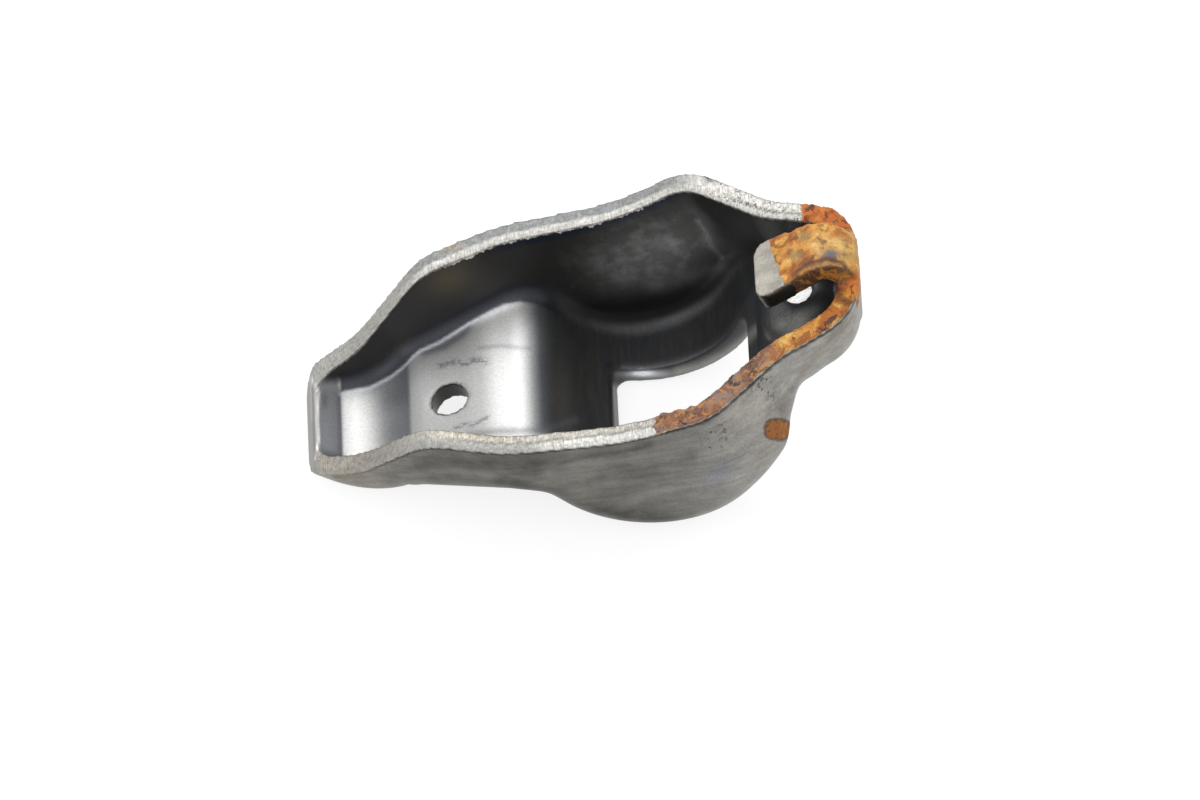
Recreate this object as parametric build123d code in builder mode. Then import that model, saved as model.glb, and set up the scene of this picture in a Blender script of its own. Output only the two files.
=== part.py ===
from build123d import *
import os
from math import cos, sin, tan, radians

# Rocker arm, one deep-drawn steel pressing with an open fulcrum slot. Millimetres.
# The origin is on the fulcrum axis, +X points to the pushrod end and +Z is up, as the arm rests.
# Everything is laid out in the press frame, which is tipped by the angle the arm rests at:
# x runs along the rim, y across the channel and z up out of it.

# Sheet and the angle it rests at
sheet = 2.9
rest_pitch = 16.8
inside_corner = 2.6

# Fulcrum trough with its slot
trough_radius = 13.4
valve_flank_lean = 27.5
pushrod_flank_lean = 39.0
slot_start = -7.4
slot_length = 20.4
slot_width = 15.6
slot_corner = 1.6

# Valve end: arm floor, crest above the trough, ridge and contact pad
arm_floor = -0.9
crest_radius = 6.0
ridge_x = -31.85
pad_fullness = 1.52
ridge_fullness = 0.66
pad_rise = 28.4
pad_bottom_x = -37.9
lip_rise = 36.0
lip_x = -45.2
lip_width = 20.0
lip_corner = 5.0
oil_hole = 5.0
oil_hole_x = -27.0

# Channel walls, as half widths at the wall top, and how much less they are at the trough bottom
wall_top = 16.0
belly_rim = 21.8
belly_x = 9.5
belly_low_x = belly_x + 5.0
belly_draft = 1.6
belly_radius = 9.0
nose_x = -52.0
nose_rim = belly_rim * 0.367
nose_draft = 1.6
shoulder_x = -17.0
shoulder_rim = belly_rim * 0.9266
shoulder_draft = 3.4
shoulder_radius = 25.0
waist_x = 21.5
waist_rim = belly_rim * 0.6055
waist_draft = 2.0
waist_radius = 14.0
stern_x = 33.8
stern_rim = belly_rim * 0.477
stern_low_x = stern_x - 7.6
stern_draft = 4.2
stern_radius = 9.5
stern_low_radius = 6.0

# Trimmed rim, as heights in the press frame, with the rounding at each of its corners
rim_nose = -0.4
rim_ramp_x = -38.5
rim_ramp = 2.4
rim_ramp_radius = 12.0
rim_peak_x = -27.5
rim_peak = 9.9
rim_peak_radius = 7.0
rim_dip_x = 0.0
rim_dip = 7.0
rim_dip_radius = 30.0
rim_belly_x = 7.0
rim_belly = 8.9
rim_belly_radius = 12.0
rim_stern = 9.2

# Pushrod cup
cup_x = 22.9
cup_z = -0.8
cup_ball = 4.0
cup_wall = 2.4
cup_hole = 3.6
cup_flare = 1.3
shelf_z = 1.2
shelf_radius = 4.5

# Tongue curled back over the cup
tongue_width = 9.8
tongue_root_width = 6.6
tongue_corner = 2.2
tongue_bend = 4.6
tongue_top = 16.0
tongue_tip_x = 18.4
tongue_tip_z = 10.7
tongue_proud = 0.2

clear_of_part = 60.0
rest = radians(rest_pitch)
press = Plane(origin=(0, 0, 0), x_dir=(cos(rest), 0, sin(rest)), z_dir=(-sin(rest), 0, cos(rest)))
side = Plane(origin=(0, 0, 0), x_dir=press.x_dir, z_dir=(0, -1, 0))
under_part = press.offset(-clear_of_part / 2)


def flank_x(lean, z):
    """Distance from the fulcrum axis to a straight trough flank at height z."""
    return (trough_radius + z * sin(radians(lean))) / cos(radians(lean))


def crossing(x1, z1, rise1, x2, z2, rise2):
    """Point where two straight floor lines meet, each given by a point and its rise in degrees."""
    slope1 = tan(radians(rise1))
    slope2 = tan(radians(rise2))
    x = (z2 - z1 + slope1 * x1 - slope2 * x2) / (slope1 - slope2)
    return (x, z1 + slope1 * (x - x1))


def lip_height(x):
    """Height of the straight lip inside the valve end."""
    pad_bottom = arm_floor - (ridge_x - pad_bottom_x) * tan(radians(pad_rise))
    return pad_bottom + (pad_bottom_x - x) * tan(radians(lip_rise))


stern_fall = (wall_top - shelf_z) / (wall_top + trough_radius + sheet)
tongue_back_x = stern_x + tongue_proud
tongue_heel_x = tongue_back_x - (stern_x - stern_low_x) * stern_fall
pad_radius = (ridge_x - pad_bottom_x) * pad_fullness
ridge_radius = (ridge_x - pad_bottom_x) * ridge_fullness
trough_bottom = crossing(
    -flank_x(valve_flank_lean, 0),
    0,
    valve_flank_lean - 90,
    flank_x(pushrod_flank_lean, 0),
    0,
    90 - pushrod_flank_lean,
)

low_half = [
    (shoulder_x, shoulder_rim - shoulder_draft),
    (belly_low_x, belly_rim - belly_draft),
    (waist_x, waist_rim - waist_draft),
    (stern_low_x, stern_rim - stern_draft),
]
rim_half = [
    (shoulder_x, shoulder_rim),
    (belly_x, belly_rim),
    (waist_x, waist_rim),
    (stern_x, stern_rim),
]


def wall_outline(half, nose, stern_rounding):
    """Closed outline through the starboard corners, the stern and the mirrored port corners."""
    corners = [(nose_x, nose)] + half
    loop = corners + [(x, -y) for x, y in reversed(corners)]
    radii = [shoulder_radius, belly_radius, waist_radius, stern_rounding]
    with BuildLine() as line:
        FilletPolyline(*loop, radius=radii + radii[::-1])
        Line(loop[-1], loop[0])
    return line.line


def floor_rails(body):
    """Edges along which the floor meets the side walls and the stern."""
    low = [e for e in body.edges() if press.to_local_coords(e.center()).Z < wall_top / 2]
    across = [e for e in low if abs(e.center().Y) < sheet / 100]
    rails = [e for e in low if abs(e.center().Y) >= sheet / 100]
    return rails + [max(across, key=lambda e: e.center().X)]


def channel(inset, floor_drop, corner):
    """Space between the walls and above the floor, rounded where they meet."""
    with BuildPart() as body:
        with BuildSketch(press.offset(-(trough_radius + sheet))):
            add(wall_outline(low_half, nose_rim - nose_draft, stern_low_radius))
            make_face()
            if inset:
                offset(amount=-inset)
        with BuildSketch(press.offset(wall_top)):
            add(wall_outline(rim_half, nose_rim, stern_radius))
            make_face()
            if inset:
                offset(amount=-inset)
        loft(ruled=True)
        with BuildSketch(side):
            with BuildLine():
                floor = FilletPolyline(
                    (nose_x - clear_of_part, lip_height(nose_x - clear_of_part)),
                    (pad_bottom_x, lip_height(pad_bottom_x)),
                    (ridge_x, arm_floor),
                    (-flank_x(valve_flank_lean, arm_floor), arm_floor),
                    trough_bottom,
                    (flank_x(pushrod_flank_lean, shelf_z), shelf_z),
                    (clear_of_part, shelf_z),
                    radius=[pad_radius, ridge_radius, crest_radius, trough_radius, shelf_radius],
                )
                Polyline(
                    floor @ 1,
                    (clear_of_part, clear_of_part * 2),
                    (nose_x - clear_of_part, clear_of_part * 2),
                    floor @ 0,
                )
            make_face()
            if floor_drop:
                offset(amount=floor_drop)
        extrude(amount=clear_of_part, both=True, mode=Mode.INTERSECT)
        fillet(floor_rails(body), radius=corner)
    return body.part


outer = channel(0, sheet, inside_corner + sheet)
inner = channel(sheet, 0, inside_corner)

# Tongue, narrower at its root than at its tip
with BuildPart() as tongue:
    with BuildSketch(side):
        with BuildLine():
            FilletPolyline(
                (tongue_heel_x, shelf_z),
                (tongue_back_x, tongue_top),
                (tongue_tip_x, tongue_tip_z),
                radius=tongue_bend,
            )
            offset(amount=sheet, side=Side.LEFT)
        make_face()
    extrude(amount=tongue_width, both=True)
    with BuildSketch(press) as tongue_plan:
        with BuildLine():
            Polyline(
                (tongue_tip_x, tongue_width / 2),
                (stern_x, tongue_root_width / 2),
                (stern_x + sheet, tongue_root_width / 2),
                (stern_x + sheet, -tongue_root_width / 2),
                (stern_x, -tongue_root_width / 2),
                (tongue_tip_x, -tongue_width / 2),
                close=True,
            )
        make_face()
        fillet(tongue_plan.vertices().sort_by(Axis.X)[:2], radius=tongue_corner)
    extrude(amount=clear_of_part, mode=Mode.INTERSECT)

with BuildPart() as rocker_arm:
    add(outer)
    add(inner, mode=Mode.SUBTRACT)

    # Pushrod cup: a dome inside, a ball socket from below
    dome = cup_ball + cup_wall
    cup_axis = Axis(origin=press.from_local_coords(Vector(cup_x, 0, cup_z)), direction=press.z_dir)
    with BuildSketch(side):
        with BuildLine():
            Line((cup_x, cup_z), (cup_x, cup_z + dome))
            RadiusArc((cup_x, cup_z + dome), (cup_x + dome, cup_z), dome)
            Line((cup_x + dome, cup_z), (cup_x, cup_z))
        make_face()
    revolve(axis=cup_axis)
    with BuildSketch(side):
        with BuildLine():
            Polyline((cup_x + cup_ball, cup_z), (cup_x + cup_ball, cup_z - dome), (cup_x, cup_z - dome))
            Line((cup_x, cup_z - dome), (cup_x, cup_z + cup_ball))
            RadiusArc((cup_x, cup_z + cup_ball), (cup_x + cup_ball, cup_z), cup_ball)
        make_face()
    revolve(axis=cup_axis, mode=Mode.SUBTRACT)

    # Trimmed rim
    with BuildSketch(side):
        with BuildLine():
            rim = FilletPolyline(
                (nose_x, rim_nose),
                (rim_ramp_x, rim_ramp),
                (rim_peak_x, rim_peak),
                (rim_dip_x, rim_dip),
                (rim_belly_x, rim_belly),
                (clear_of_part, rim_stern),
                radius=[rim_ramp_radius, rim_peak_radius, rim_dip_radius, rim_belly_radius],
            )
            Polyline(rim @ 1, (clear_of_part, clear_of_part), (nose_x, clear_of_part), rim @ 0)
        make_face()
    extrude(amount=clear_of_part, both=True, mode=Mode.SUBTRACT)

    # Lip at the valve end, cut square to the sheet
    lip_lean = radians(lip_rise)
    lip = Plane(
        origin=press.from_local_coords(Vector(lip_x, 0, lip_height(lip_x))),
        x_dir=press.x_dir * cos(lip_lean) - press.z_dir * sin(lip_lean),
        z_dir=press.x_dir * sin(lip_lean) + press.z_dir * cos(lip_lean),
    )
    with BuildSketch(lip):
        with BuildLine():
            FilletPolyline(
                (clear_of_part, clear_of_part),
                (0, lip_width / 2),
                (0, -lip_width / 2),
                (clear_of_part, -clear_of_part),
                radius=lip_corner,
                close=False,
            )
            Polyline(
                (clear_of_part, -clear_of_part),
                (clear_of_part * 2, -clear_of_part),
                (clear_of_part * 2, clear_of_part),
                (clear_of_part, clear_of_part),
            )
        make_face()
    extrude(amount=clear_of_part, both=True, mode=Mode.INTERSECT)

    add(tongue.part)

    # Fulcrum slot, oil hole and the hole through the cup
    with BuildSketch(under_part):
        with Locations((slot_start + slot_length / 2, 0)):
            RectangleRounded(slot_length, slot_width, slot_corner)
        with Locations((oil_hole_x, 0)):
            Circle(oil_hole / 2)
    extrude(amount=clear_of_part / 2, mode=Mode.SUBTRACT)
    with BuildSketch(press.offset(cup_z)):
        with Locations((cup_x, 0)):
            Circle(cup_hole / 2)
    extrude(amount=dome + sheet, mode=Mode.SUBTRACT)
    with BuildSketch(side):
        with BuildLine():
            Polyline(
                (cup_x, cup_z + cup_ball - cup_flare),
                (cup_x + cup_hole / 2 + cup_flare, cup_z + cup_ball - cup_flare),
                (cup_x + cup_hole / 2, cup_z + cup_ball + cup_flare),
                (cup_x, cup_z + cup_ball + cup_flare),
                close=True,
            )
        make_face()
    revolve(axis=cup_axis, mode=Mode.SUBTRACT)

rocker_arm.part.label = "rocker_arm"
os.makedirs("parts", exist_ok=True)
export_step(rocker_arm.part, "parts/rocker_arm.step")
print("rocker_arm", len(rocker_arm.part.solids()), "solid", rocker_arm.part.is_valid, rocker_arm.part.volume)
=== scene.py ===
import math

import bmesh
import bpy
import numpy as np
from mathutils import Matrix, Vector, kdtree, noise


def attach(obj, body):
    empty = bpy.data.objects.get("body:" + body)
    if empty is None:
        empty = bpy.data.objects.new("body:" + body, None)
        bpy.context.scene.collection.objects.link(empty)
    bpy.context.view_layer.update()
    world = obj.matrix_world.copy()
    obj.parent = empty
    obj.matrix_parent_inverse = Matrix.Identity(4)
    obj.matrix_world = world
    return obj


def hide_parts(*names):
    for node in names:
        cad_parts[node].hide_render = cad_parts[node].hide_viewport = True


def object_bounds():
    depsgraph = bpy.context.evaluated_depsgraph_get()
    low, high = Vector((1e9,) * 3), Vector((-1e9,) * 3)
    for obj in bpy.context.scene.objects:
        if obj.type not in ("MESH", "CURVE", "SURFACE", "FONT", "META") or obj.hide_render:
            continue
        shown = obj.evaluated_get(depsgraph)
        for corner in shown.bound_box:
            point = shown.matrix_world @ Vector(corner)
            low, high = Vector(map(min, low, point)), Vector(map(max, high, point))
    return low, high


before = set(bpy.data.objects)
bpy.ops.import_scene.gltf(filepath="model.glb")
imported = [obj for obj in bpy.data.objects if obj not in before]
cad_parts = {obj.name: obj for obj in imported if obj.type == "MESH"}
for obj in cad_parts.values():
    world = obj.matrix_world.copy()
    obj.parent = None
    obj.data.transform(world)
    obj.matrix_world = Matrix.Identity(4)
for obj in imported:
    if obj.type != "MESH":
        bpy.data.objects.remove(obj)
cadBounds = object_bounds()
mm = 0.001
displayGamma = 2.2
leastRadius = 0.1
bpy.context.scene.view_settings.view_transform = "Standard"


def rgb(hexCode):
    parts = [int(hexCode[i:i + 2], 16) / 255 for i in (1, 3, 5)]
    return [p / 12.92 if p <= 0.04045 else ((p + 0.055) / 1.055) ** 2.4 for p in parts] + [1.0]


def smooth(low, high, value):
    t = np.clip((value - low) / (high - low), 0, 1)
    return t * t * (3 - 2 * t)


# The pressing: a merged copy of the CAD mesh, evened out and softened at its edges
pressing = {
    "pitch": math.radians(16.8),
    "weldWithin": 0.002 * mm,
    "voxel": 0.362 * mm,
    "softening": 0.5,
    "steps": 3,
}

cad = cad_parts["rocker_arm"]
arm = bpy.data.objects.new("pressedArm", cad.data.copy())
bpy.context.scene.collection.objects.link(arm)
arm.data.materials.clear()
bpy.context.view_layer.objects.active = arm
arm.select_set(True)

weld = arm.modifiers.new("weld", "WELD")
weld.merge_threshold = pressing["weldWithin"]
even = arm.modifiers.new("even", "REMESH")
even.mode = "VOXEL"
even.voxel_size = pressing["voxel"]
even.use_smooth_shade = True
soften = arm.modifiers.new("soften", "SMOOTH")
soften.factor = pressing["softening"]
soften.iterations = pressing["steps"]
for modifier in list(arm.modifiers):
    bpy.ops.object.modifier_apply(modifier=modifier.name)
count = len(arm.data.vertices)
print("pressing", len(arm.data.polygons), "faces")

sine, cosine = math.sin(pressing["pitch"]), math.cos(pressing["pitch"])


def read(what):
    flat = np.zeros(count * 3)
    arm.data.vertices.foreach_get(what, flat)
    return flat.reshape(-1, 3)


def toPress(vectors):
    x, y, z = vectors.T
    return np.stack([x * cosine + z * sine, y, z * cosine - x * sine], 1)


def fromPress(vectors):
    x, y, z = vectors.T
    return np.stack([x * cosine - z * sine, y, z * cosine + x * sine], 1)


def movePoints(points):
    arm.data.vertices.foreach_set("co", (fromPress(points) * mm).ravel())
    arm.data.update()


# The slot's drawn edges are rolled over, not sharp
slotRoll = {
    "start": -7.4, "end": 13.0, "half": 7.8,
    "reach": (2.2, 1.2), "before": (2.0, 1.0), "after": (1.6, 0.6),
    "least": 0.05, "steps": 16,
}
press = toPress(read("co") / mm)
atSlot = smooth(*slotRoll["reach"], np.abs(np.abs(press[:, 1]) - slotRoll["half"]))
atSlot *= smooth(*slotRoll["before"], slotRoll["start"] - press[:, 0])
atSlot *= smooth(*slotRoll["after"], press[:, 0] - slotRoll["end"])
atSlot *= press[:, 2] < 0
group = arm.vertex_groups.new(name="slotEdge")
for i in np.nonzero(atSlot > slotRoll["least"])[0]:
    group.add([int(i)], float(atSlot[i]), "REPLACE")
roll = arm.modifiers.new("roll", "SMOOTH")
roll.factor = pressing["softening"]
roll.iterations = slotRoll["steps"]
roll.vertex_group = "slotEdge"
bpy.ops.object.modifier_apply(modifier=roll.name)
arm.vertex_groups.clear()

# The oil hole is drilled, so its wall is truly round
oilHole = {"along": -27.0, "radius": 2.5, "within": 0.4, "facing": 0.5}
press = toPress(read("co") / mm)
face = toPress(read("normal"))
holeAt = (oilHole["along"], 0)
fromAxis = press[:, :2] - holeAt
radial = np.hypot(*fromAxis.T)
facing = -(fromAxis * face[:, :2]).sum(1) / np.maximum(radial, leastRadius)
onWall = (np.abs(radial - oilHole["radius"]) < oilHole["within"]) & (facing > oilHole["facing"])
press[onWall, :2] = holeAt + fromAxis[onWall] * (oilHole["radius"] / radial[onWall])[:, None]

# The belly's corners swell a little past the drawn shape, both sides alike
swell = {"at": (17.2, 16.6, -4.6), "squeeze": (1, 1, 0.8), "reach": 3.2, "push": (1.45, 0.95)}
gap = (np.stack([press[:, 0], np.abs(press[:, 1]), press[:, 2]], 1) - swell["at"]) * swell["squeeze"]
amount = np.exp(-(gap ** 2).sum(1) / (2 * swell["reach"] ** 2))
press[:, 0] += swell["push"][0] * amount
press[:, 1] += swell["push"][1] * amount * np.sign(press[:, 1])
movePoints(press)

# Where each point lies: along, across and out of the press, and which way it faces
place = read("co") / mm
press = toPress(place)
face = toPress(read("normal"))
along, across, up = press.T

# Rim line, as heights along the press, read from the flat of the cut edge
rimLine = {
    "along": [-52.0, -41.5, -38.5, -36.0, -30.5, -28.0, -25.0, -20.0, -8.0, -3.0, 3.0, 6.0, 10.0, 40.0],
    "up": [-0.4, 1.8, 2.8, 4.3, 7.8, 9.1, 9.4, 9.0, 7.9, 7.5, 8.0, 8.6, 8.9, 9.2],
    "within": 0.7, "facing": 0.85,
    "from": -43.5, "to": 31.0, "every": 0.5, "window": 0.4, "leastPoints": 8,
}
guess = np.interp(along, rimLine["along"], rimLine["up"])
onFlat = (np.abs(up - guess) < rimLine["within"]) & (face[:, 2] > rimLine["facing"])
rimAlong, rimUp = [], []
for station in np.arange(rimLine["from"], rimLine["to"], rimLine["every"]):
    picked = onFlat & (np.abs(along - station) < rimLine["window"])
    if picked.sum() > rimLine["leastPoints"]:
        rimAlong.append(station)
        rimUp.append(float(np.median(up[picked])))
belowRim = np.interp(along, rimAlong, rimUp) - up

# The channel's middle line tells its inside from its outside
channelLine = {"from": -36, "to": 24, "up": 9.0}
nearestOnLine = np.clip(along, channelLine["from"], channelLine["to"])
middle = np.stack([nearestOnLine - along, -across, channelLine["up"] - up], 1)
middle /= np.maximum(np.linalg.norm(middle, axis=1), 1e-6)[:, None]
inward = (middle * face).sum(1)

# Surfaces of the pressing, in millimetres and as how far a point faces along an axis
zones = {
    "seam": 1.0,
    "tongue": {"up": (8.2, 8.8), "half": 5.3, "from": 17.5},
    "curl": {"from": 28.9, "half": 4.6, "up": 7.5},
    "cutDepth": 0.34, "farOuterCut": 0.8, "cutBlend": 0.14,
    "end": (-42.9, -43.3), "endFacing": (0.45, 0.25),
    "facesIn": (-0.1, 0.2), "facesOut": (0.1, -0.1),
    "notWall": (0.80, 0.35), "facesUp": (0.15, 0.4),
}
near = smooth(zones["seam"], -zones["seam"], across)
far = 1 - near
tongue, curl = zones["tongue"], zones["curl"]
onTongue = smooth(*tongue["up"], up) * (np.abs(across) < tongue["half"]) * (along > tongue["from"])
inCurl = (along > curl["from"]) & (np.abs(across) < curl["half"]) & (up > curl["up"])
onTongue = np.where(inCurl, 1.0, onTongue)
cutDepth = np.where((inward < 0) & (across > 0), zones["farOuterCut"], zones["cutDepth"])
cut = smooth(cutDepth + zones["cutBlend"], cutDepth - zones["cutBlend"], belowRim) * (1 - onTongue)
endFace = smooth(*zones["end"], along) * smooth(*zones["endFacing"], face[:, 0])
inside = smooth(*zones["facesIn"], inward) * (1 - cut) * (1 - endFace)
outer = smooth(*zones["facesOut"], inward) * (1 - cut) * (1 - endFace)
level = inside * smooth(*zones["notWall"], np.abs(face[:, 1])) * smooth(*zones["facesUp"], face[:, 2])

# How far into the cut edge each of its points lies, from the outer side
skin = {
    "inward": -0.35, "top": 0.3, "bottom": 2.5, "tongue": 0.5,
    "measured": 1.2, "curled": 0.9, "unmeasured": 3.0,
}
onSkin = (inward < skin["inward"]) & (belowRim > skin["top"]) & (belowRim < skin["bottom"])
outerPoints = np.nonzero(onSkin & (onTongue < skin["tongue"]))[0]
tree = kdtree.KDTree(len(outerPoints))
for i in outerPoints:
    tree.insert(press[i], int(i))
tree.balance()
fromOutside = np.full(count, skin["unmeasured"])
for i in np.nonzero((belowRim < skin["measured"]) & (onTongue < skin["curled"]))[0]:
    fromOutside[i] = tree.find(press[i])[2]

# Rust is lumpy, most of all where it flakes off the near rim
rustLimits = {
    "farRim": (24.4, 25.6), "nearRim": (2.2, 4.2), "stern": (28.5, 29.5), "curl": (27.0, 28.5),
    "tip": 21.9, "tipSlant": 0.22, "tipSide": 1.2, "tipSideFacing": (-0.5, -0.8),
    "tipBlend": (-0.6, 0.6), "tipFacing": (-0.3, 0.1),
    "heelShare": 0.85, "heelUp": (5.6, 6.6), "heelAlong": (30.0, 30.8), "heelHalf": 6,
}
tipSide = rustLimits["tipSide"] * smooth(*rustLimits["tipSideFacing"], face[:, 1])
tipEdge = rustLimits["tip"] - rustLimits["tipSlant"] * across + tipSide
tipRust = smooth(*rustLimits["tipBlend"], along - tipEdge)
tipRust = tipRust * smooth(*rustLimits["tipFacing"], face[:, 2] + face[:, 0])
heelRust = smooth(*rustLimits["heelUp"], up) * smooth(*rustLimits["heelAlong"], along)
rust = np.zeros(count)
for rusty in (
    smooth(*rustLimits["farRim"], along) * far * cut,
    smooth(*rustLimits["nearRim"], along) * near * cut,
    smooth(*rustLimits["stern"], along) * cut,
    tipRust * onTongue,
    smooth(*rustLimits["curl"], along) * onTongue,
    rustLimits["heelShare"] * heelRust * (np.abs(across) < rustLimits["heelHalf"]),
):
    rust = np.maximum(rust, rusty)

lumps = {
    "size": 1.3, "finer": 2.3, "finerShare": 0.5, "height": 0.16, "least": 0.1,
    "flakeHeight": 0.38, "flakesStart": (2.0, 3.0), "flakesEnd": (11.0, 9.0),
}
flaking = smooth(*lumps["flakesStart"], along) * smooth(*lumps["flakesEnd"], along) * near
for i in np.nonzero(rust > lumps["least"])[0]:
    at = press[i] / lumps["size"]
    bump = noise.noise(Vector(at)) + lumps["finerShare"] * noise.noise(Vector(at * lumps["finer"]))
    lift = lumps["height"] + (lumps["flakeHeight"] - lumps["height"]) * flaking[i]
    press[i] += face[i] * float(bump) * lift * rust[i]
movePoints(press)
print("shape done")

# The photograph's own pixels, to place a mark on the surface that it was seen on
photo = {
    "perMillimetre": 7.5, "originX": 642, "originY": 352,
    "right": (0.9993, -0.0384, 0), "upward": (0.0298, 0.7766, 0.629),
}
px = photo["originX"] + photo["perMillimetre"] * (place * photo["right"]).sum(1)
py = photo["originY"] - photo["perMillimetre"] * (place * photo["upward"]).sum(1)


def patch(at, reach, lean):
    turn = math.radians(lean)
    right = (px - at[0]) * math.cos(turn) - (py - at[1]) * math.sin(turn)
    down = (px - at[0]) * math.sin(turn) + (py - at[1]) * math.cos(turn)
    return np.exp(-(right / reach[0]) ** 2 - (down / reach[1]) ** 2)


def trace(points, width):
    nearest = np.full(count, 1e9)
    for (ax, ay), (bx, by) in zip(points, points[1:]):
        share = ((px - ax) * (bx - ax) + (py - ay) * (by - ay)) / ((bx - ax) ** 2 + (by - ay) ** 2)
        share = np.clip(share, 0, 1)
        nearest = np.minimum(nearest, np.hypot(px - ax - share * (bx - ax), py - ay - share * (by - ay)))
    return np.exp(-(nearest / width) ** 2)


# A mark's places are pixels of the photograph: a patch at one, a line through some, fades between columns
def mark(look):
    mask = look.get("share", 1.0) * look.get("on", np.ones(count))
    if "at" in look:
        mask = mask * patch(look["at"], look["reach"], look.get("lean", 0))
    if "line" in look:
        mask = mask * trace(look["line"], look["width"])
    for columns in look.get("fades", ()):
        mask = mask * smooth(*columns, px)
    return mask


tone = np.zeros((count, 3))


def paint(mask, hexCode):
    tone[:] += (np.array(rgb(hexCode)[:3]) - tone) * np.clip(mask, 0, 1)[:, None]


def paintAll(marks, area):
    for look in marks.values():
        paint(mark(look) * area, look["tone"])


# Outside: satin grey, brownish towards the valve and cooler towards the pushrod. The grey along the wall is
# painted shade and light: darker through the middle, lighter towards both ends.
wallTone = {
    "at": [306, 345, 400, 450, 520, 570, 640, 690, 740, 790, 850],
    "grey": [0.68, 0.61, 0.49, 0.42, 0.42, 0.46, 0.47, 0.53, 0.64, 0.66, 0.64],
    "cooler": (560, 740), "warmTint": (1.05, 1.0, 0.91), "coolTint": (1.03, 1.0, 0.94),
}
wallGrey = np.interp(px, wallTone["at"], wallTone["grey"]) ** displayGamma
cool = smooth(*wallTone["cooler"], px)[:, None]
wallTint = np.array(wallTone["warmTint"]) * (1 - cool) + np.array(wallTone["coolTint"]) * cool
tone[:] = wallGrey[:, None] * wallTint

# Marks on the outside wall, most of them painted shade and painted highlights that follow how the light falls
# on its ridges, crest, belly and waist
outsideMarks = {
    "ridgeShade": {"share": 0.75, "at": (425, 464), "reach": (16, 6), "lean": 10, "tone": "#4b4a46"},
    "crestShade": {"share": 0.70, "at": (478, 463), "reach": (30, 7), "tone": "#4a4945"},
    "troughShade": {"share": 0.70, "at": (530, 463), "reach": (26, 8), "lean": -6, "tone": "#45443f"},
    "crestFootShade": {"share": 0.50, "at": (455, 476), "reach": (40, 4), "tone": "#5b5a56"},
    "noseFoot": {"share": 0.60, "at": (345, 476), "reach": (30, 5), "lean": 4, "tone": "#7d6f5c"},
    "lowerEdgeHighlight": {"share": 0.60, "line": ((405, 476), (450, 470), (505, 474), (545, 483)), "width": 4,
                  "tone": "#8d8a84"},
    "bellyCreaseShade": {"share": 0.60, "line": ((560, 464), (580, 457), (600, 454), (625, 451), (650, 444)),
                  "width": 3.2, "tone": "#43423f"},
    "bellySheen": {"share": 0.50, "line": ((550, 470), (575, 465), (610, 463), (640, 458), (668, 449)),
                   "width": 5, "tone": "#8f8e89"},
    "bellyDusk": {"share": 0.40, "line": ((590, 480), (620, 473), (655, 468), (690, 456)), "width": 6,
                  "tone": "#63615d"},
    "bellyFootShade": {"share": 0.85, "line": ((505, 482), (545, 492), (575, 505), (620, 517), (690, 522)),
                  "width": 9, "tone": "#3a3936"},
    "bellyLight": {"share": 0.60, "at": (570, 488), "reach": (22, 5), "lean": -12, "tone": "#8c8a85"},
    "bellyMiddle": {"share": 0.55, "at": (640, 494), "reach": (44, 6), "lean": 6, "tone": "#8a8681"},
    "bellyLower": {"share": 0.40, "at": (650, 507), "reach": (50, 5), "tone": "#5f5d59"},
    "blueSheen": {"share": 0.60, "at": (722, 470), "reach": (22, 9), "lean": 30, "tone": "#858995"},
    "cornerLight": {"share": 0.45, "at": (752, 456), "reach": (16, 26), "lean": -25, "tone": "#a19d96"},
    "waistLight": {"share": 0.50, "at": (745, 408), "reach": (20, 12), "lean": 30, "tone": "#cfc9bf"},
    "waistShade": {"share": 0.45, "at": (780, 405), "reach": (14, 11), "lean": 20, "tone": "#6f6c68"},
    "waistGrey": {"share": 0.40, "at": (745, 405), "reach": (22, 12), "lean": 35, "tone": "#9a9890"},
    "sternLight": {"share": 0.40, "at": (835, 345), "reach": (18, 26), "lean": 20, "tone": "#aaa59c"},
    "sternBrown": {"share": 0.45, "line": ((800, 372), (822, 345), (846, 318)), "width": 4,
                   "tone": "#7d6f5c"},
    "heelBrown": {"share": 0.55, "at": (845, 290), "reach": (14, 6), "tone": "#a89a84"},
}
nearOuter = near * outer
paintAll(outsideMarks, nearOuter)

# Painted shade: a dark line under the near rim, where the shear drew the sheet down
rimShade = {
    "share": 0.85, "top": (0.25, 0.4), "depth": 0.85, "deeper": 0.35, "deeperFrom": (640, 690), "blend": 0.25,
    "fades": ((330, 400),), "tone": "#2b2622",
}
lineDepth = rimShade["depth"] + rimShade["deeper"] * smooth(*rimShade["deeperFrom"], px)
underRim = smooth(*rimShade["top"], belowRim) * smooth(lineDepth, lineDepth - rimShade["blend"], belowRim)
paint(mark(rimShade) * underRim * nearOuter, rimShade["tone"])
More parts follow.
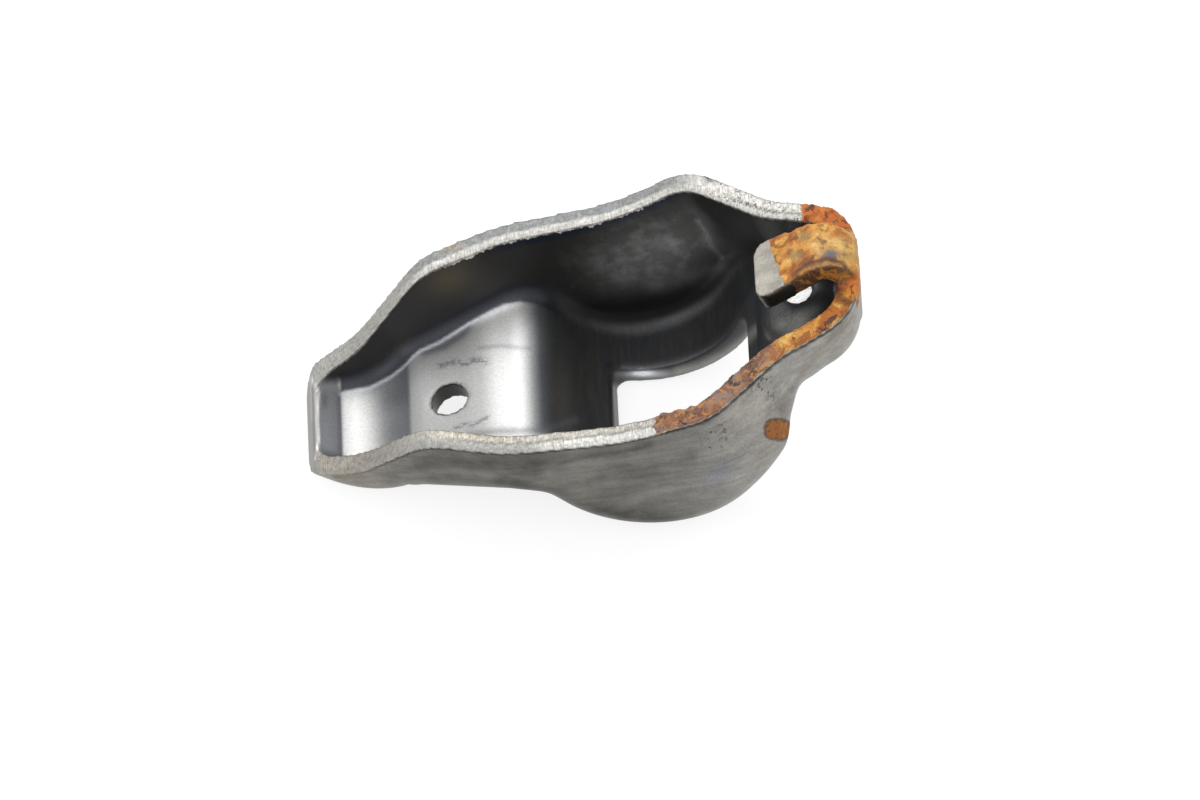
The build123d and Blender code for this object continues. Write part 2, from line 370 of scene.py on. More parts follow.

# Inside: blue-black scale, its near-black tone partly painted shade, browned and scuffed in places
scale = {"tone": "#302f2e", "metal": 0.45}
paint(inside, scale["tone"])
scuffed = {"at": (655, 250), "reach": (62, 27), "lean": 12, "edge": (745, 700), "slant": 0.35}
scuff = mark(scuffed) * smooth(*scuffed["edge"], px - scuffed["slant"] * (py - scuffed["at"][1]))
bluedAndShaded = {"below": (2.0, 1.2)}
# Far wall: blue-black under the rim, partly painted shade; a painted highlight along the crescent where the
# floor curves up into it, painted shade on the wall just above that crescent; brown and scuffs in places
farWallMarks = {
    "paler": {"share": 0.60, "at": (400, 320), "reach": (60, 44), "lean": 40, "tone": "#484848"},
    "browned": {"share": 0.75, "at": (448, 280), "reach": (24, 15), "lean": 25, "tone": "#5f5342"},
    "bluedAndShaded": {"share": 0.90, "on": smooth(*bluedAndShaded["below"], belowRim), "fades": ((470, 520), (695, 660)),
              "tone": "#1a2134"},
    "scuffed": {"share": 0.85, "on": scuff, "tone": "#676866"},
    "scuffEdge": {"share": 0.50, "line": ((697, 222), (704, 231), (710, 245), (721, 258)), "width": 2.2,
                  "tone": "#9c9d9b"},
    "scuffFoot": {"share": 0.65, "line": ((720, 267), (690, 276), (655, 288)), "width": 7, "tone": "#5d5f5f"},
    "highlitLedgeStart": {"share": 0.85, "line": ((558, 310), (566, 317), (577, 322)), "width": 3.4,
                   "tone": "#a9abab"},
    "highlitLedge": {"share": 0.65, "line": ((577, 323), (605, 331), (645, 334), (682, 328)), "width": 6,
              "tone": "#505152"},
    "highlitLedgeEnd": {"share": 0.70, "line": ((690, 322), (712, 306), (728, 290), (736, 278)), "width": 6,
                 "tone": "#77787a"},
    "hollowShade": {"share": 0.85, "at": (640, 302), "reach": (80, 10), "lean": 8, "tone": "#0b0b0b"},
    "behindTongue": {"share": 0.70, "at": (735, 240), "reach": (16, 18), "tone": "#585858"},
}
paintAll(farWallMarks, far * inside)

domed = {"at": (785, 330), "reach": (30, 24), "from": 16}
pastTrough = along > domed["from"]
dome = mark(domed) * pastTrough
cupMarks = {
    "brownBand": {"share": 0.85, "at": (754, 315), "reach": (6, 40), "tone": "#75543a"},
    "dome": {"share": 0.85, "on": dome, "tone": "#6b6862"},
    "domeShine": {"share": 0.7, "on": pastTrough, "at": (777, 325), "reach": (8, 5), "lean": 20,
                  "tone": "#a7a6a2"},
}
paintAll(cupMarks, inside)

# Pushrod socket: painted near-white, a painted reflection standing in for the white backdrop seen through the
# cup hole
cup = {
    "centre": (22.5, 0, -0.8), "ball": (6.2, 5.8), "rim": (4.6, 4.2), "facing": (-0.2, 0.1), "from": 17,
    "tone": "#f6f6f4",
}
fromCup = press - cup["centre"]
cupRadius = np.hypot(*fromCup[:, :2].T)
toAxis = -(fromCup * face)[:, :2].sum(1) / np.maximum(cupRadius, leastRadius)
socket = smooth(*cup["ball"], np.linalg.norm(fromCup, axis=1)) * smooth(*cup["rim"], cupRadius)
socket *= smooth(*cup["facing"], toAxis - face[:, 2]) * (along > cup["from"])

# Channel floor: painted light and shade along it, bright on the pad and the crest, dark in the trough
floorLightAndShade = {
    "along": [-44.0, -42.2, -42.0, -40.3, -38.5, -36.6, -34.5, -32.9, -32.2, -30.0, -25.0,
              -22.5, -20.5, -18.8, -17.3, -16.0, -14.5, -13.0, -11.0, -7.0, 13.0, 30.0],
    "grey": [0.50, 0.48, 0.93, 0.93, 0.78, 0.62, 0.52, 0.46, 0.68, 0.70, 0.70,
             0.76, 0.94, 0.99, 0.96, 0.72, 0.36, 0.30, 0.28, 0.27, 0.27, 0.30],
    "paler": (0.35, 0.75), "darkTint": (0.93, 0.98, 1.06), "paleTint": (1.0, 1.0, 0.985),
    "ridge": (-32.4, -32.8),
}
shine = np.interp(along, floorLightAndShade["along"], floorLightAndShade["grey"])
paler = smooth(*floorLightAndShade["paler"], shine)[:, None]
tint = np.array(floorLightAndShade["darkTint"]) * (1 - paler) + np.array(floorLightAndShade["paleTint"]) * paler
tone += ((shine ** displayGamma)[:, None] * tint - tone) * level[:, None]

beforeRidge = smooth(*floorLightAndShade["ridge"], along)
# Painted shade on the pad and along the arm's edge, painted highlights on the crest and along the near foot,
# darker along the near fillet, and streaks in the trough
floorMarks = {
    "padUpperShade": {"share": 0.75, "on": beforeRidge, "at": (400, 398), "reach": (22, 12), "lean": 20,
                 "tone": "#62656b"},
    "padLowerShade": {"share": 0.50, "on": beforeRidge, "at": (398, 430), "reach": (14, 20), "tone": "#5f6266"},
    "crestHighlight": {"share": 0.80, "at": (506, 335), "reach": (22, 22), "tone": "#f4f4f4"},
    "armEdgeShade": {"share": 0.75, "line": ((425, 352), (445, 346), (462, 335), (468, 328)), "width": 5,
                "tone": "#55585c"},
    "crestLine": {"share": 0.50, "line": ((480, 348), (500, 346), (530, 349)), "width": 2.2,
                  "tone": "#8e9094"},
    "troughLight": {"share": 0.60, "at": (562, 395), "reach": (11, 42), "tone": "#6f6c66"},
    "troughBrown": {"share": 0.40, "at": (590, 370), "reach": (10, 40), "tone": "#514c44"},
    "nearFillet": {"share": 0.60, "line": ((470, 434), (500, 431), (545, 430), (575, 420)), "width": 4,
                   "tone": "#74767a"},
    "nearFootHighlight": {"share": 0.60, "line": ((480, 440), (520, 436), (550, 436)), "width": 3, "tone": "#d4d4d2"},
}
paintAll(floorMarks, level)

# Where the floor turns up into the far wall: painted shade in the fillet, with a painted highlight line along
# its foot
floorEdge = {
    "column": [330, 344, 371, 391, 405, 413, 420, 440, 470, 490, 505, 520, 540, 560],
    "row": [396, 393, 388, 378, 367, 358, 352, 343, 324, 313, 306, 303, 306, 316],
    "filletFoot": (-1.5, 2.5), "filletTop": (26, 15), "lineWidth": 1.8,
}
aboveEdge = np.interp(px, floorEdge["column"], floorEdge["row"]) - py
fillet = smooth(*floorEdge["filletFoot"], aboveEdge) * smooth(*floorEdge["filletTop"], aboveEdge)
footHighlight = np.exp(-(aboveEdge / floorEdge["lineWidth"]) ** 2)
edgeMarks = {
    "fillet": {"share": 0.95, "on": fillet, "fades": ((338, 343), (575, 545)), "tone": "#2c2e36"},
    "footHighlight": {"share": 0.75, "on": footHighlight, "fades": ((341, 346), (520, 495)), "tone": "#e6ebf4"},
}
paintAll(edgeMarks, far * inside)

# The slot's rolled lip catches the light on its far side
lip = {
    "half": (9.6, 8.6), "from": -8, "to": 15, "under": -1,
    "glow": {"share": 0.6, "at": (648, 374), "reach": (24, 4)},
    "glint": {"at": (642, 373), "reach": (9, 2.5)},
}
slotLip = smooth(*lip["half"], np.abs(across)) * (along > lip["from"]) * (along < lip["to"])
slotLip = slotLip * (up < lip["under"]) * inside
lipShine = (mark(lip["glow"]) + mark(lip["glint"])) * far
lipMarks = {
    "rolled": {"share": 0.6, "tone": "#55565a"},
    "valveSide": {"share": 0.7, "fades": ((624, 620),), "tone": "#2c2c2e"},
    "shine": {"on": lipShine, "tone": "#eceef2"},
    "paleEnd": {"share": 0.9, "on": far, "line": ((678, 372), (700, 367), (725, 355), (745, 340), (755, 330)),
                "width": 5, "tone": "#a5a39d"},
}
paintAll(lipMarks, slotLip)

# End of the valve arm: a grey cut face, with a painted highlight along the thin burr on its inner edge,
# painted shade at the foot of its inner wall and a painted glow on its lip
valveEnd = {
    "from": -41.5, "facing": 0.9, "leftOf": (321, 319), "edgeFacing": (0.3, 0.5),
    "lipFrom": -40, "glowFrom": -42,
    "burr": {"line": ((315, 382), (320, 392), (319.5, 420), (321, 440), (318, 458)), "width": 1.1},
    "burrTip": {"at": (314, 380), "reach": (2.5, 3.5)}, "burrTipFrom": -41,
}
atEnd = (along < valveEnd["from"]) * (face[:, 0] < valveEnd["facing"])
endFace = np.maximum(endFace, atEnd * smooth(*valveEnd["leftOf"], px))
burrTip = mark(valveEnd["burrTip"]) * (along < valveEnd["burrTipFrom"])
burr = np.maximum(mark(valveEnd["burr"]) * atEnd, burrTip)
endMarks = {
    "cutFace": {"on": endFace, "tone": "#8d8c89"},
    "edge": {"on": endFace * smooth(*valveEnd["edgeFacing"], face[:, 0]), "tone": "#747370"},
    "lipFootShade": {"share": 0.8, "on": inside * (along < valveEnd["lipFrom"]),
                "line": ((341, 397), (342, 425), (343, 456)), "width": 2.2, "tone": "#343850"},
    "lipGlow": {"share": 0.5, "on": inside * (along < valveEnd["glowFrom"]),
                "at": (330, 440), "reach": (9, 30), "tone": "#95979b"},
    "burr": {"share": 0.9, "on": burr, "tone": "#f6f6f4"},
    "burrShade": {"share": 0.6, "on": atEnd, "at": (326, 400), "reach": (3, 9), "tone": "#45464a"},
}
paintAll(endMarks, 1.0)

# Cut edge: two bands, dull towards the valve and bright beyond
sheared = {
    "farBand": 2.0, "nearBand": 1.55, "blend": 0.3,
    "nearSeam": 1.45, "nearSeamWidth": (0.3, 0.1), "farSeam": 1.9, "farSeamWidth": (0.28, 0.1),
    "dullEnd": (440, 385), "farBevel": (715, 690), "nearBevel": (560, 520),
}
bandEdge = np.where(across > 0, sheared["farBand"], sheared["nearBand"])
outerBand = smooth(bandEdge, bandEdge - sheared["blend"], fromOutside)
dullEnd = smooth(*sheared["dullEnd"], px)
bevel = outerBand * (far * smooth(*sheared["farBevel"], px) + near * smooth(*sheared["nearBevel"], px))
nearSeam = near * smooth(*sheared["nearSeamWidth"], np.abs(fromOutside - sheared["nearSeam"]))
farSeam = far * smooth(*sheared["farSeamWidth"], np.abs(fromOutside - sheared["farSeam"]))
rimMarks = {
    "sheared": {"tone": "#dedcd6"},
    "farBevel": {"on": outerBand * far, "fades": ((700, 670),), "tone": "#939595"},
    "nearBevel": {"on": outerBand * near, "fades": ((560, 530),), "tone": "#b0aeaa"},
    "nearBright": {"on": outerBand * near, "fades": ((530, 560),), "tone": "#e6e5e0"},
    "nearInner": {"share": 0.5, "on": near * (1 - outerBand), "tone": "#bdb7aa"},
    "nearSeam": {"share": 0.7, "on": nearSeam, "fades": ((430, 480),), "tone": "#8a8884"},
    "farSeam": {"share": 0.7, "on": farSeam, "fades": ((715, 735),), "tone": "#63625f"},
    "farDull": {"share": 0.6, "on": far, "at": (672, 184), "reach": (22, 10), "tone": "#9c9c99"},
    "farNick": {"share": 0.9, "on": far, "at": (708, 180), "reach": (5, 3), "lean": -20, "tone": "#2f2f31"},
    "farSandy": {"share": 0.8, "at": (447, 246), "reach": (12, 6), "tone": "#b3a084"},
    "nearSandy": {"share": 0.6, "on": near, "at": (490, 432), "reach": (26, 5), "tone": "#c4ad88"},
    "dullEnd": {"on": dullEnd, "tone": "#a8a6a1"},
    "nearDull": {"share": 0.6, "on": near, "fades": ((420, 380),), "tone": "#9c958b"},
}
paintAll(rimMarks, cut)

# Tongue: grey at its tip, with painted shade on its side and underside. The socket is painted near-white,
# standing in for the bright backdrop seen through the cup hole.
tip = {"side": (-0.55, -0.8), "under": (0.2, -0.1)}
tongueSide = onTongue * smooth(*tip["side"], face[:, 1])
tongueUnder = onTongue * smooth(*tip["under"], face[:, 2])
tipMarks = {
    "bare": {"on": onTongue, "tone": "#dcd6cb"},
    "worn": {"share": 0.6, "on": onTongue, "at": (775, 262), "reach": (14, 26), "lean": 20,
             "tone": "#bab5ab"},
    "side": {"on": np.maximum(tongueSide, tongueUnder), "tone": "#67645c"},
    "socket": {"on": socket, "tone": cup["tone"]},
}
paintAll(tipMarks, 1.0)

# Brown before golden along the near rim, brown and olive on the tongue's near side; there the darkest brown
# is partly rust and partly painted shade
rustMarks = {
    "brownEnd": {"fades": ((785, 745),)},
    "orangeEnd": {"at": (850, 286), "reach": (14, 14)},
    "deepFoot": {"share": 0.8, "line": ((834, 300), (846, 305), (860, 306)), "width": 3},
    "fold": {"line": ((792, 275), (803, 267), (822, 261), (838, 265), (848, 277)), "width": 1.9},
    "foldStart": {"share": 0.9, "at": (793, 277), "reach": (4, 4)},
    "foldFoot": {"at": (834, 292), "reach": (5, 6), "lean": 30},
    "farStart": {"line": ((800, 214), (812, 207), (826, 204)), "width": 1.8, "fades": ((800, 803),)},
    "stain": {"at": (827, 257), "reach": (9, 4.5), "lean": 4},
    "oliveBack": {"share": 0.8, "at": (843, 258), "reach": (7, 3.5)},
    "oliveLow": {"share": 0.9, "at": (792, 258), "reach": (7, 4.5)},
    "oliveTop": {"share": 0.9, "at": (801, 239), "reach": (5.5, 5)},
    "oliveEdge": {"share": 0.8, "at": (820, 270), "reach": (20, 5), "lean": 8},
    "paleTop": {"share": 0.9, "at": (818, 248), "reach": (11, 9), "lean": 20},
    "paleBack": {"share": 0.8, "at": (836, 246), "reach": (8, 7)},
    "paleEdge": {"share": 0.7, "line": ((846, 226), (854, 245), (857, 268)), "width": 4},
}
rustZones = {"deepFrom": (26, 28), "foldFootFrom": 25, "redFrom": 795, "redShare": 0.9}
marked = {name: mark(look) for name, look in rustMarks.items()}
brown = near * cut * marked["brownEnd"]
deep = tongueSide * (1 - marked["orangeEnd"])
deep = np.maximum(deep, marked["deepFoot"] * smooth(*rustZones["deepFrom"], along))
crease = np.maximum(marked["fold"] * onTongue, marked["foldStart"]) * onTongue
crease = np.maximum(crease, marked["foldFoot"] * near * (along > rustZones["foldFootFrom"]))
crease = np.maximum(crease, marked["farStart"])
stain = marked["stain"] * onTongue
olive = sum(marked[name] for name in ("oliveBack", "oliveLow", "oliveTop", "oliveEdge"))
olive = np.minimum(olive, 1) * onTongue
pale = np.minimum(marked["paleTop"] + marked["paleBack"] + marked["paleEdge"], 1) * onTongue
farRed = far * cut * (1 - onTongue) * (px > rustZones["redFrom"])
red = np.minimum(rustZones["redShare"] * marked["orangeEnd"] + farRed, 1)

# Oval rust spot on the belly, squarer than an ellipse
oval = {
    "at": (775, 429), "wide": 13.6, "high": 11.0, "squareness": 2.6,
    "edge": (1.08, 0.92), "ring": (0.80, 0.95), "facing": (0.0, -0.2),
}
ovalRight = np.abs((px - oval["at"][0]) / oval["wide"]) ** oval["squareness"]
ovalDown = np.abs((py - oval["at"][1]) / oval["high"]) ** oval["squareness"]
spotRim = (ovalRight + ovalDown) ** (1 / oval["squareness"])
spot = smooth(*oval["edge"], spotRim) * near * smooth(*oval["facing"], inward)

# Scratches on the floor, black specks on the wall and torn steel under the far rim
wear = {
    "upperScratch": {"line": ((441, 366), (452, 362), (466, 364), (476, 360), (487, 362)), "width": 3.0},
    "lowerScratch": {"line": ((456, 428), (466, 424), (474, 425), (489, 417)), "width": 1.8},
    "bellySpecks": {"at": (712, 436), "reach": (17, 15)},
    "waistSpecks": {"share": 0.9, "at": (760, 384), "reach": (12, 20), "lean": 30},
    "rimSpecks": {"on": far, "fades": ((690, 720),)},
    "rimWarm": {"on": near * (1 - outerBand), "fades": ((560, 520), (420, 450))},
}
torn = {"top": (0.2, 0.35), "bottom": (1.4, 1.2), "start": (-26, -21), "end": (7, 4)}
scratches = np.maximum(mark(wear["upperScratch"]), mark(wear["lowerScratch"])) * level
specks = np.maximum(mark(wear["bellySpecks"]), mark(wear["waistSpecks"])) * nearOuter
ragged = smooth(*torn["top"], belowRim) * smooth(*torn["bottom"], belowRim) * far * inside
ragged = ragged * smooth(*torn["start"], along) * smooth(*torn["end"], along)
troughFloor = {"start": (-15, -12), "end": 14}
trough = level * smooth(*troughFloor["start"], along) * (along < troughFloor["end"])


def store(name, values, kind="FLOAT"):
    layer = arm.data.attributes.new(name, kind, "POINT")
    field = "color" if kind == "FLOAT_COLOR" else "value"
    layer.data.foreach_set(field, np.ascontiguousarray(values, dtype=np.float32).ravel())


store("tone", np.column_stack([np.clip(tone, 0, 1), np.ones(count)]), "FLOAT_COLOR")
layers = {
    "outer": outer,
    "inside": inside,
    "scaled": inside * (1 - socket) * (1 - lipShine * slotLip),
    "cloudy": scuff * far * inside * (1 - level),
    "dome": dome * inside,
    "socket": socket,
    "trough": trough,
    "cut": cut,
    "bright": cut * (1 - dullEnd) * (1 - bevel),
    "warm": cut * mark(wear["rimWarm"]),
    "speckled": cut * mark(wear["rimSpecks"]),
    "belowRim": belowRim,
    "ragged": ragged,
    "specks": specks,
    "scratches": scratches,
    "rust": rust,
    "brown": brown,
    "golden": near * cut * (1 - brown),
    "red": red,
    "pale": pale,
    "olive": olive,
    "stain": stain,
    "deep": deep,
    "crease": crease,
    "spot": spot,
    "spotRim": spotRim,
}
for name, values in layers.items():
    store(name, values)

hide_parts("rocker_arm")
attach(arm, "root")
print("zones stored")


def node(tree, kind, inputs=None, output=None, **settings):
    made = tree.nodes.new(kind)
    for key, value in settings.items():
        setattr(made, key, value)
    for key, value in (inputs or {}).items():
        named = [s for s in made.inputs if s.name == key and s.enabled]
        plug = named[0] if named else made.inputs[key]
        if isinstance(value, bpy.types.NodeSocket):
            tree.links.new(value, plug)
        else:
            plug.default_value = value
    return made.outputs[output] if output else [s for s in made.outputs if s.enabled][0]


# Pressed mild steel, sheared at the rim and part rusted. Bare it has a soft grey gloss, under its scale
# it is near black, partly painted shade, and satin, and where it rusts it is matt, lumpy and orange to brown.
steel = bpy.data.materials.new("pressed mild steel, sheared at the rim and part rusted")
steel.use_nodes = True
shading = steel.node_tree
shader = shading.nodes["Principled BSDF"]

# Sizes in millimetres, stretched along, across and out of the press. Low and high cut the noise into a mask.
# Real grit, striae and brush marks are finer: they are drawn as coarse as the render can show.
patterns = {
    "grit": {"size": 0.32, "detail": 4, "low": 0.38, "high": 0.64, "shift": (0, 0, 0)},
    "coarseGrit": {"size": 0.55, "detail": 4, "low": 0.46, "high": 0.62, "shift": (4, 9, 1)},
    "drawn": {"size": 0.9, "stretch": (9, 1.6, 1), "detail": 4, "low": 0.38, "high": 0.64,
              "shift": (5, 5, 5)},
    "mottle": {"size": 3.4, "stretch": (1.6, 1, 1), "detail": 5, "low": 0.36, "high": 0.66,
               "shift": (3, 1, 7)},
    "cloud": {"size": 3.0, "detail": 6, "low": 0.44, "high": 0.68, "shift": (1, 6, 2)},
    "striae": {"size": 0.19, "stretch": (1, 6, 6), "detail": 3, "low": 0.40, "high": 0.66,
               "shift": (2, 8, 1)},
    "brushed": {"size": 0.5, "stretch": (1, 9, 9), "detail": 4, "low": 0.44, "high": 0.66,
                "shift": (9, 3, 2)},
    "speck": {"size": 0.6, "detail": 3, "low": 0.58, "high": 0.63, "shift": (1, 2, 3)},
    "teeth": {"size": 0.75, "stretch": (1, 3, 3), "detail": 3, "low": 0.32, "high": 0.68,
              "shift": (6, 2, 4)},
    "rustEdge": {"size": 1.0, "detail": 5, "low": 0.3, "high": 0.7, "shift": (7, 7, 1)},
    "marble": {"size": 3.6, "detail": 6, "low": 0.46, "high": 0.58, "shift": (4, 7, 3), "swirl": 0.9},
    "light": {"size": 3.0, "detail": 5, "low": 0.50, "high": 0.60, "shift": (9, 2, 6), "swirl": 0.9},
    "veins": {"size": 2.6, "detail": 6, "low": 0.55, "high": 0.60, "shift": (6, 1, 9), "swirl": 1.2},
    "flecks": {"size": 0.9, "detail": 5, "low": 0.54, "high": 0.60, "shift": (3, 8, 5), "swirl": 0.8},
    "pits": {"size": 1.6, "detail": 6, "low": 0.59, "high": 0.63, "shift": (2, 3, 8), "swirl": 0.6},
    "scrape": {"size": 0.45, "stretch": (1.6, 1, 1), "detail": 5, "low": 0.44, "high": 0.52,
               "shift": (8, 1, 5)},
}
finish = {
    "noiseRoughness": 0.6,
    "rustNoise": 0.7, "rustEdge": (0.80, 0.88),
    "tearNoise": 0.85, "tearEdge": (0.96, 0.86),
    "satin": 0.40, "burnished": 0.15, "rustRougher": 0.22,
    "grain": 0.12, "strength": 0.55, "depth": 0.14 * mm,
    "relief": (
        ("rusted", "marble", 0.8),
        ("rusted", "veins", 0.8),
        ("cut", "striae", 0.5),
        ("cut", "coarseGrit", 0.35),
    ),
}
here = node(shading, "ShaderNodeTexCoord", output="Object")
turned = node(shading, "ShaderNodeMapping", {"Vector": here, "Rotation": (0, pressing["pitch"], 0)})
pattern, raw = {}, {}
for name, look in patterns.items():
    sized = node(shading, "ShaderNodeMapping", {
        "Vector": turned,
        "Location": look["shift"],
        "Scale": tuple(1 / (look["size"] * mm * s) for s in look.get("stretch", (1, 1, 1))),
    })
    raw[name] = node(shading, "ShaderNodeTexNoise", {
        "Vector": sized,
        "Scale": 1.0,
        "Detail": look["detail"],
        "Roughness": finish["noiseRoughness"],
        "Distortion": look.get("swirl", 0.0),
    }, output="Fac")
    pattern[name] = node(shading, "ShaderNodeMapRange", {
        "Value": raw[name], "From Min": look["low"], "From Max": look["high"],
    })
stored = {}
for name in layers:
    stored[name] = node(shading, "ShaderNodeAttribute", attribute_name=name, output="Fac")

# Rust and torn steel end in ragged lines, and the oval spot in a dark ring
for name, noisy, amount, depth, (low, high) in (
    ("rusted", "rustEdge", finish["rustNoise"], "rust", finish["rustEdge"]),
    ("tooth", "teeth", finish["tearNoise"], "belowRim", finish["tearEdge"]),
):
    total = node(shading, "ShaderNodeMath", {0: pattern[noisy], 1: amount, 2: stored[depth]},
                 operation="MULTIPLY_ADD")
    pattern[name] = node(shading, "ShaderNodeMapRange", {"Value": total, "From Min": low, "From Max": high})
pattern["ring"] = node(shading, "ShaderNodeMapRange", {
    "Value": stored["spotRim"], "From Min": oval["ring"][0], "From Max": oval["ring"][1],
})
pattern["plain"] = 1.0
stored["all"] = 1.0

# Coats in painting order: where, through which pattern, how much, and the tone
stacks = {
    "steel": {
        "under": node(shading, "ShaderNodeAttribute", attribute_name="tone", output="Color"),
        "coats": (
            ("outer", "drawn", 0.35, "#9a9894", "MULTIPLY"),
            ("outer", "mottle", 0.40, "#b4b2ae", "MULTIPLY"),
            ("outer", "cloud", 0.12, "#b5b1a8", "MIX"),
            ("outer", "grit", 0.25, "#8c8a86", "MULTIPLY"),
            ("specks", "speck", 1.0, "#2b2622", "MIX"),
            ("inside", "grit", 0.22, "#8c8c8c", "MULTIPLY"),
            ("trough", "brushed", 0.20, "#6b665c", "MIX"),
            ("cloudy", "cloud", 0.60, "#a0a2a1", "MIX"),
            ("dome", "grit", 0.35, "#9c988f", "MIX"),
            ("scratches", "scrape", 0.75, "#55585d", "MIX"),
            ("ragged", "tooth", 1.0, "#eceae4", "MIX"),
            ("bright", "striae", 0.45, "#8f8e8b", "MULTIPLY"),
            ("cut", "coarseGrit", 0.35, "#8d8a84", "MULTIPLY"),
            ("warm", "speck", 0.4, "#c8ab7c", "MIX"),
            ("speckled", "speck", 0.8, "#3a3835", "MIX"),
        ),
    },
    "rust": {
        "under": rgb("#dfa14b"),
        "coats": (
            ("all", "light", 0.85, "#f2c46a", "MIX"),
            ("all", "marble", 0.9, "#b9651f", "MIX"),
            ("all", "veins", 0.75, "#8d4c1c", "MIX"),
            ("pale", "plain", 0.75, "#efcd82", "MIX"),
            ("pale", "marble", 0.6, "#c99a55", "MIX"),
            ("red", "plain", 0.75, "#cf6a1c", "MIX"),
            ("red", "veins", 0.9, "#7c3413", "MIX"),
            ("golden", "pits", 0.9, "#5b4038", "MIX"),
            ("brown", "plain", 0.95, "#8f7870", "MIX"),
            ("brown", "marble", 0.8, "#5f4033", "MIX"),
            ("brown", "light", 0.40, "#b4733c", "MIX"),
            ("brown", "veins", 0.9, "#3a221a", "MIX"),
            ("brown", "flecks", 0.9, "#dc9a50", "MIX"),
            ("all", "flecks", 0.35, "#8a5422", "MIX"),
            ("olive", "plain", 0.85, "#9c9161", "MIX"),
            ("stain", "plain", 1.0, "#626c75", "MIX"),
            ("deep", "plain", 0.95, "#6f4d19", "MIX"),
            ("deep", "marble", 0.9, "#3a1d0d", "MIX"),
            ("deep", "veins", 0.8, "#b8741f", "MIX"),
            ("crease", "plain", 0.85, "#3c2318", "MIX"),
            ("all", "pits", 0.55, "#4e3029", "MIX"),
        ),
    },
    "spot": {
        "under": rgb("#9f642b"),
        "coats": (
            ("all", "flecks", 0.9, "#5c3714", "MIX"),
            ("all", "light", 0.6, "#d39c4e", "MIX"),
            ("all", "ring", 1.0, "#46301e", "MIX"),
        ),
    },
}
coated = {}
for name, stack in stacks.items():
    coated[name] = stack["under"]
    for where, through, share, hexCode, blend in stack["coats"]:
        mask = node(shading, "ShaderNodeMath", {0: stored[where], 1: pattern[through]}, operation="MULTIPLY")
        mask = node(shading, "ShaderNodeMath", {0: mask, 1: share}, operation="MULTIPLY", use_clamp=True)
        coated[name] = node(shading, "ShaderNodeMix", {"Factor": mask, "A": coated[name], "B": rgb(hexCode)},
                            data_type="RGBA", blend_type=blend)
colour = coated["steel"]
for cover, coat in ((pattern["rusted"], coated["rust"]), (stored["spot"], coated["spot"])):
    colour = node(shading, "ShaderNodeMix", {"Factor": cover, "A": colour, "B": coat}, data_type="RGBA")
shading.links.new(colour, shader.inputs["Base Color"])

stored["rusted"] = node(shading, "ShaderNodeMath", {0: pattern["rusted"], 1: stored["spot"]},
                        operation="MAXIMUM", use_clamp=True)
bare = node(shading, "ShaderNodeMath", {0: 1.0, 1: stored["rusted"]}, operation="SUBTRACT")
unscaled = node(shading, "ShaderNodeMapRange", {
    "Value": stored["scaled"], "To Min": 1.0, "To Max": scale["metal"],
})
metallic = node(shading, "ShaderNodeMath", {0: unscaled, 1: bare}, operation="MULTIPLY")
satin = node(shading, "ShaderNodeMapRange", {
    "Value": stored["socket"], "To Min": finish["satin"], "To Max": finish["burnished"],
})
roughness = node(shading, "ShaderNodeMath", {0: stored["rusted"], 1: finish["rustRougher"], 2: satin},
                 operation="MULTIPLY_ADD")
shading.links.new(metallic, shader.inputs["Metallic"])
shading.links.new(roughness, shader.inputs["Roughness"])

# Relief: rust stands up in crusts, the sheared edge is striped, and the rest has a fine grain
relief = node(shading, "ShaderNodeMath", {0: raw["grit"], 1: finish["grain"]}, operation="MULTIPLY")
for where, what, amount in finish["relief"]:
    raised = node(shading, "ShaderNodeMath", {0: stored[where], 1: pattern[what]}, operation="MULTIPLY")
    relief = node(shading, "ShaderNodeMath", {0: raised, 1: amount, 2: relief}, operation="MULTIPLY_ADD")
bumped = node(shading, "ShaderNodeBump", {
    "Height": relief, "Strength": finish["strength"], "Distance": finish["depth"],
})
shading.links.new(bumped, shader.inputs["Normal"])
arm.data.materials.append(steel)
print("materials done")

# Floor and background: matt mid-grey paper, which reads as white to the eye and in reflections
studio = {"floorHalf": 1.5, "paper": "#949494", "matt": 0.9, "white": (1, 1, 1, 1), "glow": 0.81, "sky": 0.85}
sheet = bmesh.new()
bmesh.ops.create_grid(sheet, x_segments=1, y_segments=1, size=studio["floorHalf"])
bmesh.ops.translate(sheet, verts=sheet.verts, vec=(0, 0, cadBounds[0][2]))
floor = bpy.data.objects.new("studioFloor", bpy.data.meshes.new("studioFloor"))
sheet.to_mesh(floor.data)
sheet.free()
bpy.context.scene.collection.objects.link(floor)

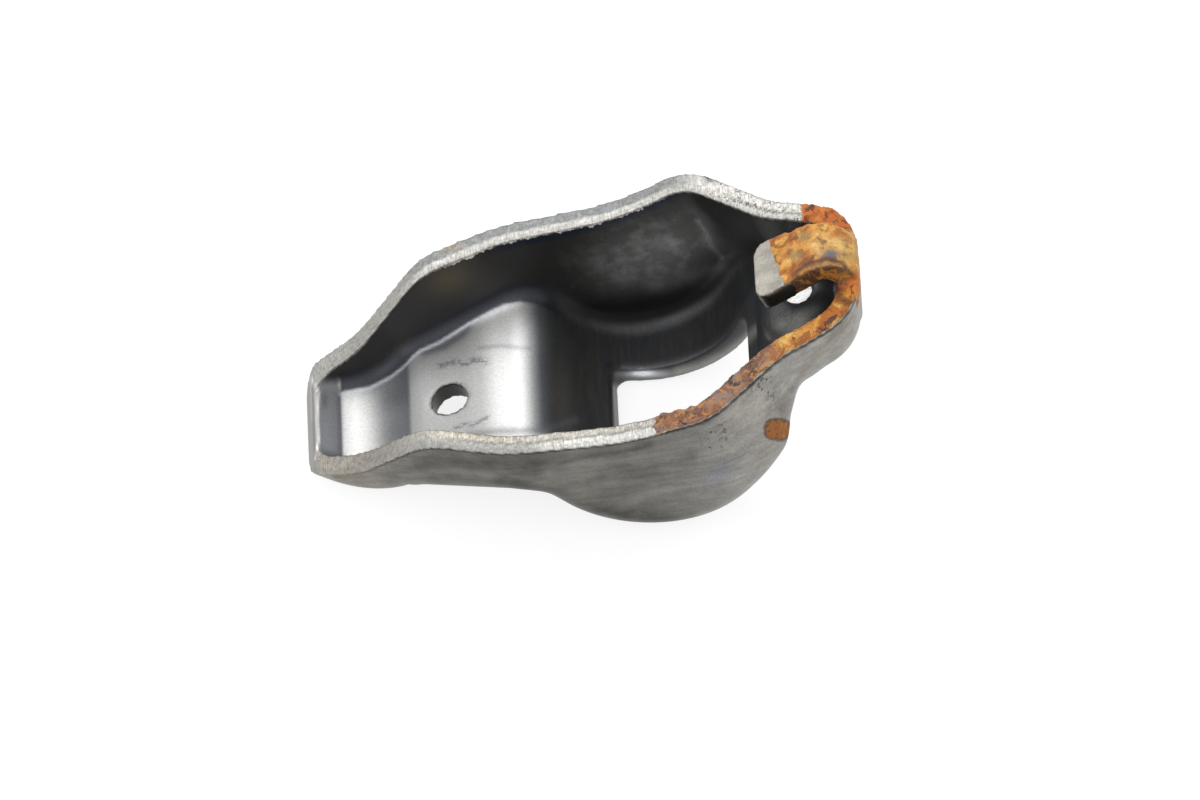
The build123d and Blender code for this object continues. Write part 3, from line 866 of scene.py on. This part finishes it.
paper = bpy.data.materials.new("white studio paper")
paper.use_nodes = True
world = bpy.data.worlds.new("white studio")
bpy.context.scene.world = world
world.use_nodes = True
strengths = []
for tree, low, high in ((paper.node_tree, 0.0, studio["glow"]), (world.node_tree, studio["sky"], 1.0)):
    seen = node(tree, "ShaderNodeLightPath", output="Is Camera Ray")
    rays = tree.nodes[-1]
    for kind in ("Is Glossy Ray", "Is Transmission Ray"):
        seen = node(tree, "ShaderNodeMath", {0: seen, 1: rays.outputs[kind]}, operation="MAXIMUM")
    strengths.append(node(tree, "ShaderNodeMapRange", {"Value": seen, "To Min": low, "To Max": high}))
paperShader = paper.node_tree.nodes["Principled BSDF"]
paperShader.inputs["Base Color"].default_value = rgb(studio["paper"])
paperShader.inputs["Roughness"].default_value = studio["matt"]
paperShader.inputs["Emission Color"].default_value = studio["white"]
paper.node_tree.links.new(strengths[0], paperShader.inputs["Emission Strength"])
sky = world.node_tree.nodes["Background"]
sky.inputs["Color"].default_value = studio["white"]
world.node_tree.links.new(strengths[1], sky.inputs["Strength"])
floor.data.materials.append(paper)

lamps = {
    "backSoftbox": {"at": (-0.10, 0.50, 0.55), "width": 0.50, "power": 1.1},
    "frontSoftbox": {"at": (-0.35, -0.45, 0.55), "width": 0.45, "power": 0.8},
}
for name, lamp in lamps.items():
    data = bpy.data.lights.new(name, "AREA")
    data.shape = "DISK"
    data.size = lamp["width"]
    data.energy = lamp["power"]
    made = bpy.data.objects.new(name, data)
    bpy.context.scene.collection.objects.link(made)
    made.location = lamp["at"]
    made.rotation_euler = Vector(lamp["at"]).to_track_quat("Z", "Y").to_euler()
print("studio lit")

# Camera at the photograph's angle
lens = {
    "azimuth": math.radians(-2.2), "elevation": math.radians(51), "distance": 2.4,
    "frameWidth": 0.1584, "right": -5.6 * mm, "up": -6.4 * mm, "sensor": 36, "clipStart": 0.05,
}
camera = bpy.data.objects.new("camera", bpy.data.cameras.new("camera"))
bpy.context.scene.collection.objects.link(camera)
bpy.context.scene.camera = camera
backward = Vector((
    math.sin(lens["azimuth"]) * math.cos(lens["elevation"]),
    -math.cos(lens["azimuth"]) * math.cos(lens["elevation"]),
    math.sin(lens["elevation"]),
))
sideways = Vector((0, 0, 1)).cross(backward).normalized()
upward = backward.cross(sideways)
camera.location = sideways * lens["right"] + upward * lens["up"] + backward * lens["distance"]
camera.rotation_euler = backward.to_track_quat("Z", "Y").to_euler()
camera.data.sensor_width = lens["sensor"]
camera.data.lens = lens["sensor"] * lens["distance"] / lens["frameWidth"]
camera.data.clip_start = lens["clipStart"]
print("camera placed")
